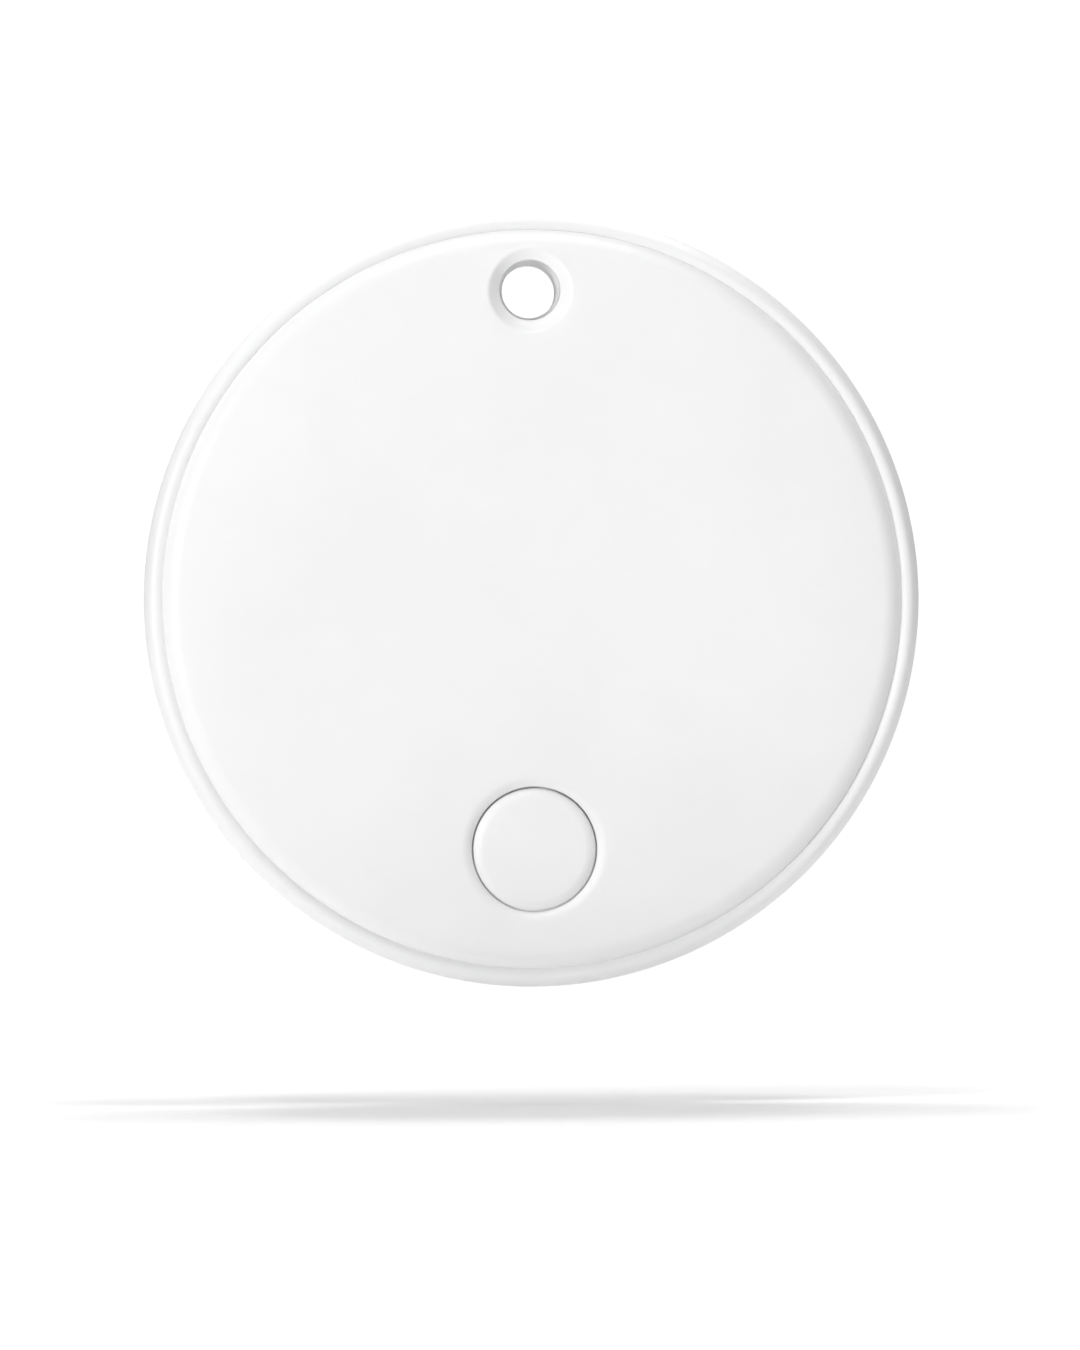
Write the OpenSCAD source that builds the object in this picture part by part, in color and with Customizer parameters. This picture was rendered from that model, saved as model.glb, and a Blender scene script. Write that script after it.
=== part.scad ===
// Round key-finder tag: a white case with a lanyard hole and a push button,
// a rear cover that pulls off, a coin cell, and the electronics that it powers.
//
// Every module draws its piece with the tag lying on its rear face: X to the right and
// Y towards the lanyard hole as the front is looked at, and Z from rear face to front face.
// upright() then stands the tag up in its own frame: front face towards -Y, lanyard hole
// at the top, origin on the hole's axis half way through the thickness.

/* [Case] */
// Outside diameter of the tag
tag_d = 38.2; // [38:0.1:39]
// Thickness from the rear face to the middle of the front face
tag_t = 7.2; // [7.2:0.1:7.8]
// Wall of the front cover at its middle
front_wall = 1.0; // [0.96:0.02:1]
// Wall of the rear cover
rear_wall = 0.8; // [0.7:0.02:0.8]
// How far the front face drops from its middle to its edge
dome_drop = 0.6; // [0.4:0.05:0.6]
// Width of the rim that shows round the front cover
rim_w = 0.92; // [0.8:0.02:1]

/* [Lanyard hole] */
// Distance from the middle of the tag to the hole
hole_y = 15.2; // [15.2:0.05:15.4]
// Radius of the hole's narrowest stretch
hole_r = 1.34; // [1.2:0.02:1.4]
// Radius of the hole in the front and rear covers
hole_mouth_r = 1.5; // [1.45:0.01:1.6]

/* [Button] */
// Distance from the middle of the tag to the button
button_y = 12.3; // [12.2:0.05:12.4]
// Radius of the button cap
button_r = 3.0; // [2.6:0.1:3.1]
// Gap between the cap and the front cover
button_gap = 0.09; // [0.06:0.01:0.15]
// Travel of the button
button_travel = 0.2; // [0.1:0.05:0.2]

/* [Coin cell] */
// Diameter of the coin cell
cell_d = 20; // [19:0.5:20]
// Thickness of the coin cell
cell_h = 3.2; // [3.1:0.05:3.2]

/* [Hidden] */
$fn = 96;

eps = 0.01;                    // overshoot of a cut past the face it leaves
slack = 0.02;                  // gap between faces that meet on two moving pieces
tag_r = tag_d / 2;

// Levels through the thickness, from the rear face at 0
pad_t = 0.1;
cell_z = rear_wall + pad_t;
web_z = cell_z + cell_h + 0.1;
web_t = 0.4;
board_z = web_z + web_t;
board_t = 0.6;
parts_z = board_z + board_t;
front_in = tag_t - front_wall;
ledge_z = front_in - 0.6;
rear_ledge = rear_wall + slack;

// Case outline
seat_r = tag_r - rim_w;        // where the front cover meets the rim
rim_front = tag_t - 1.18;      // height of the rim's front crest
rim_rear = 0.35;               // height of the rim's rear crest
rim_round = 0.6;               // rounding from the rear crest to the side wall
crest_round = 0.38;            // rounding of the front crest, as far as the flank
flank_round = 2.0;             // wide rounding of the flank, from there to the side wall
flank_angle = 32;              // angle from the radius at which the two meet
lip_round = 0.5;               // rounding from the front crest to the front cover
edge_round = 1.2;              // rounding of the front cover's edge
edge_end = 25;                 // angle from the face at which that rounding meets the side
rear_r = tag_r - 1.1;          // radius of the rear cover
rear_seat_r = rear_r + 0.1;
rear_round = 0.5;
wall_in_r = tag_r - 1.6;       // inside of the side wall, behind the web
skirt_in_r = tag_r - 1.9;      // inside of the side wall, in front of the web

// The front face is a shallow dome that falls with a power of the radius
dome_power = 4.5;
edge_slope = atan(dome_power * dome_drop / seat_r);
edge_r = seat_r - edge_round * (cos(edge_end) - sin(edge_slope));

// Coin cell bay and its seal
cell_r = cell_d / 2;
bay_r = cell_r + 0.2;
bay_wall_r = bay_r + 1.4;
seal_cord = 0.34;              // radius of the seal's cord
seal_r = bay_wall_r - 0.1;
seal_z = 1.82;
collar_in_r = bay_wall_r + 0.3;
collar_out_r = collar_in_r + 0.7;

// Lanyard boss, circuit board and its screws
boss_r = 2.2;
board_r = skirt_in_r - 0.2;
screw_ring_r = 14.4;
screw_angles = [20, 160, 240, 300];
screw_r = 0.5;
tab_angles = [30, 150, 210, 330];

// Button stack
button_round = 0.5;            // rounding of the cap's edge and of the opening round it
button_bend = 50;              // angle that it turns by before it drops into the gap
flange_r = button_r + 0.6;
flange_z = front_in;
flange_t = 0.25;
membrane_t = 0.15;
switch_top = parts_z + 0.45;
plunger_top = switch_top + button_travel + eps;
contact_t = 0.15;

// Buzzer stack, hung from the inside of the front cover
buzzer_y = 1.5;
buzzer_r = 7.5;
buzzer_adhesive_t = 0.1;
buzzer_plate_z = front_in - buzzer_adhesive_t - 0.15;
buzzer_ceramic_z = buzzer_plate_z - 0.12;

function arc(cx, cz, r, from, to, steps = 8) =
    [for (i = [0:steps]) let (a = from + (to - from) * i / steps) [cx + r * cos(a), cz + r * sin(a)]];

// Height and slope of the front face at a distance from the middle
function face_z(r) = tag_t - dome_drop * pow(r / edge_r, dome_power);
function face_slope(r) = atan(dome_power * dome_drop / edge_r * pow(r / edge_r, dome_power - 1));

module upright() {
    rotate([90, 0, 0]) translate([0, -hole_y, -tag_t / 2]) children();
}

module tube(r_out, r_in, z0, z1) {
    difference() {
        translate([0, 0, z0]) cylinder(r = r_out, h = z1 - z0);
        translate([0, 0, z0 - 1]) cylinder(r = r_in, h = z1 - z0 + 2);
    }
}

module box(x, y, z, size) {
    translate([x - size[0] / 2, y - size[1] / 2, z]) cube(size);
}

module at_hole() {
    translate([0, hole_y, 0]) children();
}

module at_button() {
    translate([0, -button_y, 0]) children();
}

module at_buzzer() {
    translate([0, buzzer_y, 0]) children();
}

// A part of a disc between two angles, as a cutting wedge
module wedge(angle, span, z0, z1) {
    rotate([0, 0, angle - span / 2]) translate([0, 0, z0])
        rotate_extrude(angle = span) square([tag_r + 2, z1 - z0]);
}

// Cuts a rounding that turns by button_bend into the edge of a round hole, in a face at height 0
module edge_cut(r, round) {
    middle = r + round * sin(button_bend) - 0.03;
    rotate_extrude() polygon(concat(
        [[0, 1], [0, -round * (1 - cos(button_bend))]],
        arc(middle, -round, round, 90 + button_bend, 90, 6),
        [[middle, 1]]
    ));
}

// Leans a piece so that its top follows the front face at the button
module on_button_face() {
    translate([0, 0, face_z(button_y)]) rotate([face_slope(button_y), 0, 0]) children();
}

// A strip of sheet metal: its side view as a path, its thickness along +X, its width along Y
module strip(path, thick, width) {
    back = [for (i = [len(path) - 1:-1:0]) path[i] + [thick, 0]];
    rotate([90, 0, 0]) translate([0, 0, -width / 2])
        linear_extrude(width) polygon(concat(path, back));
}

// ---- Case ----

module front_cover_body() {
    rotate_extrude() polygon(concat(
        [[0, front_in], [skirt_in_r, front_in], [skirt_in_r, ledge_z], [seat_r, ledge_z]],
        arc(seat_r - edge_round * cos(edge_end), face_z(edge_r) - edge_round * cos(edge_slope),
            edge_round, edge_end, 90 - edge_slope),
        [for (i = [9:-1:0]) let (r = edge_r * pow(i / 10, 0.6)) [r, face_z(r)]]
    ));
}

module front_cover() {
    hole_top = face_z(hole_y);
    bevel = 0.5;
    color("white") upright() difference() {
        union() {
            front_cover_body();
            at_hole() translate([0, 0, board_z]) cylinder(r = boss_r, h = front_in - board_z + eps);
            at_buzzer() tube(buzzer_r + 0.7, buzzer_r + 0.1, front_in - 0.3, front_in + eps);
        }
        at_hole() {
            cylinder(r = hole_mouth_r, h = tag_t + 1);
            translate([0, 0, hole_top - bevel])
                cylinder(r1 = hole_mouth_r, r2 = hole_mouth_r + bevel + 0.1, h = bevel + 0.1);
        }
        at_button() {
            cylinder(r = button_r + button_gap, h = tag_t + 1);
            translate([0, 0, front_in - 1]) cylinder(r = flange_r + 0.15, h = 1 + flange_t + slack);
            on_button_face() edge_cut(button_r + button_gap, button_round);
        }
    }
}

module housing_ring() {
    crest_r = tag_r - flank_round * (1 - cos(flank_angle)) - crest_round * cos(flank_angle);
    flank_z = rim_front - crest_round * (1 - sin(flank_angle)) - flank_round * sin(flank_angle);
    lip_end = 90 + asin((crest_r - seat_r) / lip_round);
    rotate_extrude() polygon(concat(
        [[wall_in_r, rear_ledge], [rear_seat_r, rear_ledge]],
        arc(rear_seat_r + 0.25, rim_rear + 0.25, 0.25, 180, 270),
        arc(tag_r - rim_round, rim_rear + rim_round, rim_round, 270, 360),
        arc(tag_r - flank_round, flank_z, flank_round, 0, flank_angle, 5),
        arc(crest_r, rim_front - crest_round, crest_round, flank_angle, 90),
        arc(crest_r, rim_front - lip_round, lip_round, 90, lip_end, 4),
        [[seat_r, ledge_z], [skirt_in_r, ledge_z], [skirt_in_r, web_z], [wall_in_r, web_z]]
    ));
}

// The wall round the coin cell, with the seal's groove outside and the side contact's recess inside
module bay_wall() {
    difference() {
        tube(bay_wall_r, bay_r, cell_z + 0.05, web_z + eps);
        tube(bay_wall_r + 1, seal_r - seal_cord - eps, seal_z - 0.37, seal_z + 0.37);
        box(bay_r, 0, cell_z - 1, [1.3, 3.6, cell_h + 2]);
    }
}

module mid_housing() {
    rib_t = 0.6;
    rib_z = 2.9;
    coin_slot_r = 4.2;
    color("whitesmoke") upright() difference() {
        union() {
            housing_ring();
            translate([0, 0, web_z]) cylinder(r = skirt_in_r + 0.1, h = web_t);
            bay_wall();
            at_hole() translate([0, 0, rear_ledge]) cylinder(r = boss_r, h = board_z - rear_ledge);
            for (a = screw_angles) rotate([0, 0, a]) {
                translate([screw_ring_r, 0, 2]) cylinder(r = 1.3, h = web_z - 2 + eps);
                translate([bay_wall_r + 0.2, -rib_t / 2, rib_z])
                    cube([wall_in_r - bay_wall_r, rib_t, web_z - rib_z + eps]);
            }
        }
        at_hole() translate([0, 0, -1]) cylinder(r = hole_r, h = tag_t + 2);
        for (a = screw_angles) rotate([0, 0, a])
            translate([screw_ring_r, 0, 2.3]) cylinder(r = screw_r, h = tag_t);
        // openings in the web for the two battery contacts
        box(-0.2, 0, web_z - 1, [8, 4, web_t + 2]);
        box(cell_r - 0.9, 0, web_z - eps, [3.2, 3.6, web_t + 1]);
        // room for the front cover's boss in the skirt
        at_hole() translate([0, 0, board_z]) cylinder(r = boss_r + slack, h = tag_t);
        // scallop in the rear rim, for a coin's edge
        translate([0, -rear_r + 0.3, 1.15 - coin_slot_r])
            rotate([90, 0, 0]) cylinder(r = coin_slot_r, h = 3);
    }
}

module rear_cover() {
    bevel = 0.5;
    collar_h = 1.6;
    tab_out_r = wall_in_r - 0.08;
    color("whitesmoke") upright() difference() {
        union() {
            rotate_extrude() polygon(concat(
                [[0, rear_wall], [0, 0]],
                arc(rear_r - rear_round, rear_round, rear_round, 270, 360),
                [[rear_r, rear_wall]]
            ));
            tube(collar_out_r, collar_in_r, rear_wall - eps, rear_wall + collar_h);
            for (a = tab_angles) intersection() {
                tube(tab_out_r, tab_out_r - 0.7, rear_wall - eps, rear_wall + collar_h);
                wedge(a, 26, 0, 4);
            }
        }
        at_hole() {
            translate([0, 0, -1]) cylinder(r = hole_mouth_r, h = rear_wall + 2);
            translate([0, 0, -0.1])
                cylinder(r1 = hole_mouth_r + bevel + 0.1, r2 = hole_mouth_r, h = bevel + 0.1);
        }
    }
}

module battery_seal() {
    color("dimgray") upright() translate([0, 0, seal_z])
        rotate_extrude() translate([seal_r, 0]) circle(r = seal_cord);
}

module battery_pad() {
    color("darkslategray") upright()
        translate([0, 0, rear_wall]) cylinder(r = 5, h = pad_t - slack);
}

// ---- Button and switch ----

module button_cap() {
    low = 0.05;
    shank_h = 0.45;            // straight length under the leaning top
    top_foot = flange_z + shank_h - 0.15 - face_z(button_y);
    color("white") upright() at_button() {
        translate([0, 0, flange_z]) {
            cylinder(r = flange_r, h = flange_t);
            cylinder(r = button_r, h = shank_h);
        }
        on_button_face() rotate_extrude() polygon(concat(
            [[0, top_foot], [button_r, top_foot]],
            arc(button_r - button_round * sin(button_bend), -low - button_round, button_round,
                90 - button_bend, 90),
            [[button_r * 0.6, -low / 2], [0, -low / 3]]
        ));
    }
}

module button_membrane() {
    color("lightgray") upright() at_button() {
        translate([0, 0, front_in - membrane_t]) cylinder(r = flange_r + 1.2, h = membrane_t);
        translate([0, 0, plunger_top + slack])
            cylinder(r = 0.9, h = front_in - membrane_t - plunger_top - slack + eps);
    }
}

module switch_body() {
    color("#303236") upright() at_button() difference() {
        box(0, 0, parts_z, [3, 2.6, switch_top - parts_z]);
        translate([0, 0, parts_z + 0.04]) cylinder(r = 1.1, h = 1);
    }
}

module switch_plate() {
    color("silver") upright() at_button() difference() {
        box(0, 0, switch_top, [2.9, 2.5, 0.06]);
        translate([0, 0, switch_top - 1]) cylinder(r = 0.76, h = 2);
    }
}

module switch_dome() {
    rise = button_travel - 0.05;
    thick = 0.04;
    color("gainsboro") upright() at_button() translate([0, 0, parts_z + 0.05]) rotate_extrude()
        polygon(concat(
            [for (i = [0:6]) let (r = i / 6) [r, thick + rise * (1 - r * r)]],
            [for (i = [6:-1:0]) let (r = i / 6) [r, rise * (1 - r * r)]]
        ));
}

module switch_plunger() {
    color("ivory") upright() at_button()
        translate([0, 0, parts_z + 0.25]) cylinder(r = 0.7, h = plunger_top - parts_z - 0.25);
}

// ---- Circuit board ----

module circuit_board() {
    color("seagreen") upright() difference() {
        translate([0, 0, board_z]) cylinder(r = board_r, h = board_t);
        at_hole() translate([0, 0, board_z - 1]) cylinder(r = boss_r + 0.2, h = board_t + 2);
        for (a = screw_angles) rotate([0, 0, a])
            translate([screw_ring_r, 0, board_z - 1]) cylinder(r = screw_r + 0.1, h = board_t + 2);
    }
}

module board_screws() {
    head_r = 1.0;
    head_h = 0.42;
    color("lightsteelblue") upright() for (a = screw_angles) rotate([0, 0, a])
        translate([screw_ring_r, 0, 0]) difference() {
            union() {
                translate([0, 0, 2.5]) cylinder(r = screw_r, h = parts_z - 2.5 + eps);
                translate([0, 0, parts_z]) rotate_extrude() polygon(concat(
                    [[0, 0], [head_r, 0]], arc(head_r - 0.2, head_h - 0.2, 0.2, 0, 90, 4), [[0, head_h]]
                ));
            }
            for (turn = [0, 90]) rotate([0, 0, turn])
                box(0, 0, parts_z + 0.12, [1.1, 0.22, 1]);
        }
}

// A flat package: size along X, Y and Z, at x, y, turned about Z
module chip(x, y, turn, size) {
    translate([x, y, parts_z]) rotate([0, 0, turn]) box(0, 0, 0, size);
}

module radio_chip() {
    color("#26282b") upright() chip(-10.4, -6.6, 0, [5, 5, 0.75]);
}

module motion_sensor() {
    color("#26282b") upright() chip(10.6, -7.6, 0, [2, 2, 0.7]);
}

module sound_driver() {
    color("#26282b") upright() chip(10.2, 8.8, 0, [3, 3, 0.75]);
}

module main_crystal() {
    color("silver") upright() chip(-6.2, -10, 0, [2, 1.6, 0.45]);
}

module clock_crystal() {
    color("silver") upright() chip(-13.8, -0.8, 90, [3.2, 1.5, 0.75]);
}

module chip_antenna() {
    color("antiquewhite") upright() chip(14, -1.4, 90, [5.2, 2, 0.6]);
}

module power_inductor() {
    color("#4a4a4d") upright() chip(6.4, 12, 0, [2.5, 2, 0.85]);
}

module bulk_capacitors() {
    color("tan") upright() for (x = [-8.2, -10.4]) chip(x, 9.6, 90, [3.2, 1.6, 0.8]);
}

// Small two-ended parts, each at [x, y, turn]
chip_size = [1, 0.5, 0.35];
capacitor_places = [
    [-6.9, -5, 90], [-6.9, -6.5, 90], [-6.9, -8, 90], [-9, -10, 0], [-10.5, -10, 0],
    [-9.4, -3.3, 0], [-11.2, -3.3, 0], [-4.3, -10, 90], [12.6, 8.2, 90], [8, 8, 90],
    [8, 9.6, 90], [4, 12.4, 90], [8.6, -7.2, 90], [-12.6, 9.2, 90]
];
resistor_places = [
    [-14, -5.4, 90], [12.8, -7.2, 90], [10.2, 6.4, 0], [11.8, 2.6, 90], [3.4, -12.3, 90],
    [-3.4, -12.3, 90], [-5.4, 12, 0], [8.6, -8.8, 90]
];

module chip_capacitors() {
    color("peru") upright() for (p = capacitor_places) chip(p[0], p[1], p[2], chip_size);
}

module chip_resistors() {
    color("#1c1c1e") upright() for (p = resistor_places) chip(p[0], p[1], p[2], chip_size);
}

// ---- Battery contacts ----

module contact_negative() {
    foot_x = -3.6;
    reach = board_z - contact_t;
    low = cell_z + cell_h + slack;
    color("gold") upright() {
        box(foot_x + 0.8, 0, reach, [1.6, 3, contact_t - eps]);
        for (side = [-1, 1]) translate([0, side, 0]) rotate([90, 0, 0]) translate([0, 0, -0.45])
            linear_extrude(0.9) polygon([
                [foot_x + 1.5, board_z - eps], [foot_x + 1.5, reach], [1.6, low], [2.2, low],
                [3.2, low + 0.18], [3.2, low + 0.3], [2.1, low + 0.12], [1.7, low + 0.12]
            ]);
    }
}

module contact_positive() {
    foot_z = board_z - contact_t;
    color("gold") upright() {
        box(cell_r - 0.5, 0, foot_z, [2.2, 3, contact_t - eps]);
        strip([
            [cell_r + 0.46, board_z - eps], [cell_r + 0.46, board_z - 0.8], [cell_r + 0.03, 3],
            [cell_r + 0.03, 2.7], [cell_r + 0.4, 1.9]
        ], contact_t, 2.6);
    }
}

// ---- Buzzer ----

module buzzer_plate() {
    color("goldenrod") upright() at_buzzer()
        translate([0, 0, buzzer_plate_z]) cylinder(r = buzzer_r, h = 0.15);
}

module buzzer_ceramic() {
    color("lightgray") upright() at_buzzer()
        translate([0, 0, buzzer_ceramic_z]) cylinder(r = 5, h = buzzer_plate_z - buzzer_ceramic_z);
}

module buzzer_adhesive() {
    color("gray") upright() at_buzzer()
        tube(buzzer_r, buzzer_r - 1.2, front_in - buzzer_adhesive_t, front_in);
}

// One spring carries the signal to the ceramic, the other to the brass plate
module buzzer_spring(x, y, top) {
    h = top - parts_z - eps;
    translate([x, y, parts_z]) rotate([90, 0, 0]) translate([0, 0, -0.4]) linear_extrude(0.8)
        polygon([
            [-0.8, 0], [0.8, 0], [0.8, 0.1], [0, 0.13], [0.5, h - 0.08], [0.9, h - 0.08], [0.9, h],
            [0.42, h], [-0.12, 0.1], [-0.8, 0.1]
        ]);
}

module buzzer_springs() {
    color("gold") upright() {
        buzzer_spring(-0.4, 2, buzzer_ceramic_z);
        buzzer_spring(5.6, 0, buzzer_plate_z);
    }
}

// ---- Coin cell: plus side to the rear, minus side to the board ----

module cell_turned(points) {
    translate([0, 0, cell_z]) rotate_extrude() polygon(points);
}

module battery_can() {
    skin = 0.25;
    corner = 0.45;
    crimp_z = cell_h - 0.7;
    color("silver") upright() cell_turned(concat(
        [[0, 0]],
        arc(cell_r - corner, corner, corner, 270, 360),
        arc(cell_r - 0.5, crimp_z, 0.5, 0, 75),
        arc(cell_r - 0.5, crimp_z, skin, 75, 0),
        arc(cell_r - corner - 0.05, corner + 0.05, skin, 0, -90),
        [[0, skin]]
    ));
}

module battery_cap() {
    top = cell_h;
    skin = 0.25;
    color("gainsboro") upright() cell_turned(concat(
        [[0, top]],
        arc(cell_r - 1.9, top - 0.35, 0.35, 90, 0),
        [
            [cell_r - 1.55, top - 0.65], [cell_r - 0.7, top - 0.9], [cell_r - 0.7, 0.5],
            [cell_r - 0.95, 0.5], [cell_r - 0.95, top - 1.1], [cell_r - 1.8, top - 0.85],
            [cell_r - 1.8, top - 0.4], [cell_r - 1.95, top - skin], [0, top - skin]
        ]
    ));
}

module battery_gasket() {
    color("lightslategray") upright() cell_turned([
        [cell_r - 1.1, 0.27], [cell_r - 0.5, 0.27], [cell_r - 0.27, 0.6], [cell_r - 0.27, cell_h - 0.8],
        [cell_r - 0.48, cell_h - 0.5], [cell_r - 0.72, cell_h - 0.5], [cell_r - 0.68, cell_h - 0.88],
        [cell_r - 0.68, 0.47], [cell_r - 1.1, 0.47]
    ]);
}

module cell_disc(r, z0, z1) {
    translate([0, 0, cell_z + z0]) cylinder(r = r, h = z1 - z0);
}

module battery_cathode() {
    color("#2a2a2c") upright() cell_disc(cell_r - 1.2, 0.26, 1.7);
}

module battery_separator() {
    color("white") upright() cell_disc(cell_r - 1.1, 1.71, 1.82);
}

module battery_anode() {
    color("slategray") upright() cell_disc(cell_r - 2, 1.83, cell_h - 0.27);
}

front_cover();
mid_housing();
rear_cover();
battery_seal();
battery_pad();
button_cap();
button_membrane();
switch_body();
switch_plate();
switch_dome();
switch_plunger();
circuit_board();
board_screws();
radio_chip();
motion_sensor();
sound_driver();
main_crystal();
clock_crystal();
chip_antenna();
power_inductor();
bulk_capacitors();
chip_capacitors();
chip_resistors();
contact_negative();
contact_positive();
buzzer_plate();
buzzer_ceramic();
buzzer_adhesive();
buzzer_springs();
battery_can();
battery_cap();
battery_gasket();
battery_cathode();
battery_separator();
battery_anode();
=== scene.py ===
import math

import bmesh
import bpy
import numpy as np
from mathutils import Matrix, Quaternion, Vector
from mathutils.geometry import delaunay_2d_cdt


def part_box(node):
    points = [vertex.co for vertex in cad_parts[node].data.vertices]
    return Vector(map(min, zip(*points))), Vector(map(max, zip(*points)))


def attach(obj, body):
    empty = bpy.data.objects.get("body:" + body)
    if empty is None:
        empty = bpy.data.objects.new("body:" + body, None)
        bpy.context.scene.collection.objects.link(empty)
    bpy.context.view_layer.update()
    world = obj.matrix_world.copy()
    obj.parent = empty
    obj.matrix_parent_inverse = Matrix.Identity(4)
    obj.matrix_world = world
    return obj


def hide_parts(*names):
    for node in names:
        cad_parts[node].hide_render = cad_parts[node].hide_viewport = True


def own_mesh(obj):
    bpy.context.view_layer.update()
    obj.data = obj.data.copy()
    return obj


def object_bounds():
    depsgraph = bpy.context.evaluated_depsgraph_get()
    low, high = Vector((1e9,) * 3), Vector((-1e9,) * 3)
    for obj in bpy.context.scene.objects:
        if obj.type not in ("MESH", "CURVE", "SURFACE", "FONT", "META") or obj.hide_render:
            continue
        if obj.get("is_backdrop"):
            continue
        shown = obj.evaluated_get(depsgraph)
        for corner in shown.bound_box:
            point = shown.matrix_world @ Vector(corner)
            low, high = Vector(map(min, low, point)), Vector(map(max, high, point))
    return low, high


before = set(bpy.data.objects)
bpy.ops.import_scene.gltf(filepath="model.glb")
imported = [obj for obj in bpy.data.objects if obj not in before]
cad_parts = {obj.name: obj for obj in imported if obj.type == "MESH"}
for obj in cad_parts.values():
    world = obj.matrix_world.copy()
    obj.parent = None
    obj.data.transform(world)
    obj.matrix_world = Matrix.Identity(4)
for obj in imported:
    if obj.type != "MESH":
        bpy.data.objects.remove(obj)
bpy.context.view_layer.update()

MM = 0.001
CAD_WELD = 1e-7         # points of a CAD mesh closer than this, in metres, are one
WELD = 2e-7             # and those of a mesh built here

# ---- sizes
# The working space is the tag lying on its rear face, in millimetres: u to the right and
# v towards the lanyard hole from the tag's middle, w from the rear face to the front.
# cu and cv are a centre, su and sv a size.


def size_mm(node):
    """Width, thickness and height of a CAD node's box, in millimetres."""
    low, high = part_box(node)
    return [(b - a) / MM for a, b in zip(low, high)]


REAR_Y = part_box("rear_cover")[1].y
MIDDLE_Z = sum(c.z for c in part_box("mid_housing")) / 2


def level(node, side):
    """Height w of a node's rear (0) or front (1) face."""
    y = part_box(node)[1].y if side == 0 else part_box(node)[0].y
    return (REAR_Y - y) / MM


def middle(node):
    """Centre u, v of a node."""
    low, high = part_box(node)
    return (low.x + high.x) / 2 / MM, ((low.z + high.z) / 2 - MIDDLE_Z) / MM


def radius(node):
    return size_mm(node)[0] / 2


TAG_R = radius("mid_housing")
TAG_T = level("front_cover", 1)
SEAT_R = radius("front_cover")
REAR_R = radius("rear_cover")
HOLE_V = -MIDDLE_Z / MM
BUTTON_V = middle("button_membrane")[1]
BUZZER_V = middle("buzzer_plate")[1]
FLANGE_R = radius("button_cap")
BUTTON_R = FLANGE_R - 0.6
OPENING_R = BUTTON_R + 0.09
BUTTON_ROUND = 0.7      # rounding of the cap's edge and of the opening round it
BUTTON_BEND = math.radians(50)
COUNTERBORE_R = FLANGE_R + 0.15
CELL_R = radius("battery_can")
CELL_W = level("battery_can", 0)
CELL_H = level("battery_cap", 1) - CELL_W
CELL_TOP = CELL_W + CELL_H
CELL_SKIN = 0.25        # thickness of the can's and the cap's steel

FRONT_IN = level("button_membrane", 1)     # inside of the front cover
LEDGE_W = TAG_T - 1.6                      # where the front cover's skirt rests
BOARD_W = level("circuit_board", 0)
PARTS_W = level("circuit_board", 1)
WEB_W = BOARD_W - 0.4                      # rear side of the web that carries the board
REAR_WALL = level("battery_pad", 0)
REAR_LEDGE = REAR_WALL + 0.02
RIM_FRONT = level("mid_housing", 1)
RIM_REAR = level("mid_housing", 0)
COLLAR_W = level("rear_cover", 1)

SKIRT_R = TAG_R - 1.9                      # inside of the side wall, in front of the web
WALL_IN_R = TAG_R - 1.6                    # and behind it
REAR_SEAT_R = REAR_R + 0.1
RIM_ROUND = 0.6         # rounding at the rear of the side wall
CREST_ROUND = 0.38      # rounding of the rim's front crest, as far as the flank
FLANK_ROUND = 2.0       # wide rounding of the flank, from there to the side wall
FLANK_ANGLE = math.radians(32)
LIP_ROUND = 0.5         # rounding from the crest down to the front cover
DOME_DROP = 0.6         # fall of the face from its middle to its rounded edge
DOME_POWER = 4.5        # power of the radius by which it falls
EDGE_ROUND = 1.2        # rounding from the face down to the seat
EDGE_END = math.radians(25)
HOLE_R = 1.34           # lanyard hole in the housing
HOLE_MOUTH_R = 1.5      # and in the two covers
BOSS_R = 1.97           # the front cover's boss round the hole
BOSS_REAR_R = 2.2       # the housing's boss round the hole
SCREW_RING_R = 14.4
SCREW_ANGLES = (20, 160, 240, 300)
TAB_ANGLES = (30, 150, 210, 330)

SEAL_CORD = size_mm("battery_seal")[1] / 2
SEAL_R = radius("battery_seal") - SEAL_CORD
SEAL_W = level("battery_seal", 0) + SEAL_CORD
BAY_R = CELL_R + 0.2
BAY_WALL_R = SEAL_R + 0.1
WEB_FLAT_R = BAY_R - 1                     # the web is one flat disc as far as this

EDGE_SLOPE = math.atan(DOME_POWER * DOME_DROP / SEAT_R)
EDGE_R = SEAT_R - EDGE_ROUND * (math.cos(EDGE_END) - math.sin(EDGE_SLOPE))

ROUND_STEPS = 320       # points round the case or the cell
DISC_STEPS = 160        # points round the button, the pad or a disc
FINE_STEPS = 128        # points round the lanyard hole or a small round part
HOLE_STEPS = 48         # points round a screw hole or a mark of the mould


def face_w(u, v):
    """Height of the domed front face."""
    return TAG_T - DOME_DROP * (math.hypot(u, v) / EDGE_R) ** DOME_POWER


def around(r, angle):
    """The point u, v at a radius and an angle in degrees."""
    return r * math.cos(math.radians(angle)), r * math.sin(math.radians(angle))


def place(u, v, w):
    """A point of the working space in the row frame, in metres."""
    return Vector((u * MM, REAR_Y - w * MM, MIDDLE_Z + v * MM))


# ---- outlines


def arc(cx, cy, r, start, stop, steps=8):
    """Points (x, y) along an arc, angles in degrees."""
    angles = [math.radians(start + (stop - start) * i / steps) for i in range(steps + 1)]
    return [(cx + r * math.cos(a), cy + r * math.sin(a)) for a in angles]


def circle(cu, cv, r, n=FINE_STEPS):
    return arc(cu, cv, r, 0, 360 * (n - 1) / n, n - 1)


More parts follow.
